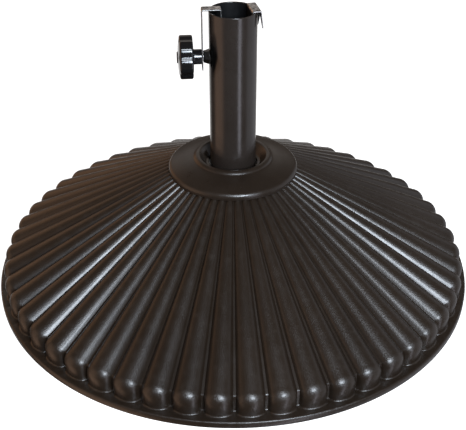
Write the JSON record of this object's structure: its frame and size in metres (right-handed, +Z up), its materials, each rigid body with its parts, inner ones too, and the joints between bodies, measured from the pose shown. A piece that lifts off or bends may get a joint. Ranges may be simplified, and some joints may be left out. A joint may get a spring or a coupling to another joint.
{
  "type": "parasol base",
  "caption": "Round fluted resin-shelled parasol base with a cast ballast core, a steel post, a sliding trim collar and a hand screw that clamps the pole.",
  "frame": {"origin": "centre of the underside, on the surface that the base stands on, on the post's axis", "axes": "+Z up along the post; the hand screw points along -X"},
  "size_m": [0.584, 0.584, 0.3402],
  "materials": {
    "shell_resin": "satin moulded resin with a fine stipple, dark bronze",
    "collar_resin": "smooth satin moulded resin, dark bronze",
    "post_coating": "satin powder coat, dark bronze",
    "boss_paint": "semi-gloss black paint",
    "knob_resin": "gloss black",
    "cap_resin": "gloss black-brown, plain",
    "clip_steel": "dark oiled strip steel with bright cut edges",
    "zinc_steel": "bright zinc plate",
    "concrete": "raw cast concrete",
    "pan_resin": "matt black moulded resin"
  },
  "bodies": {
    "base": {"fluted_shell": "shell_resin", "ballast_core": "concrete", "bottom_pan": "pan_resin", "pan_screw_1": "zinc_steel", "pan_screw_2": "zinc_steel", "pan_screw_3": "zinc_steel", "pan_screw_4": "zinc_steel", "pan_screw_5": "zinc_steel", "pan_screw_6": "zinc_steel", "socket_cup": "zinc_steel", "post_tube": "post_coating", "post_end_plate": "post_coating", "anchor_bolt": "zinc_steel", "anchor_washer": "zinc_steel", "anchor_nut": "zinc_steel", "clamp_boss": "boss_paint"},
    "collar": {"collar_cover": "collar_resin"},
    "clip": {"pressure_clip": "clip_steel"},
    "hand_screw": {"clamp_stud": "zinc_steel", "knob_body": "knob_resin", "knob_cap": "cap_resin"},
    "adapter": {"adapter_clip": "clip_steel"}
  },
  "joints": [
    {"name": "pressure_clip_slide", "type": "slide", "parent": "base", "child": "clip", "axis": [-1, 0, 0], "range_m": [0, 0.0076]},
    {"name": "knob_turn", "type": "hinge", "parent": "clip", "child": "hand_screw", "pos_m": [-0.0449, 0, 0.2842], "axis": [-1, 0, 0], "range_deg": [0, 1800]},
    {"name": "collar_lift", "type": "slide", "parent": "base", "child": "collar", "axis": [0, 0, 1], "range_m": [0, 0.098]},
    {"name": "adapter_clip_lift", "type": "slide", "parent": "base", "child": "adapter", "axis": [0, 0, 1], "range_m": [0, 0.06]}
  ],
  "couplings": [
    {"joint": "pressure_clip_slide", "follows": "knob_turn", "m_per_rad": 0.00023873}
  ]
}
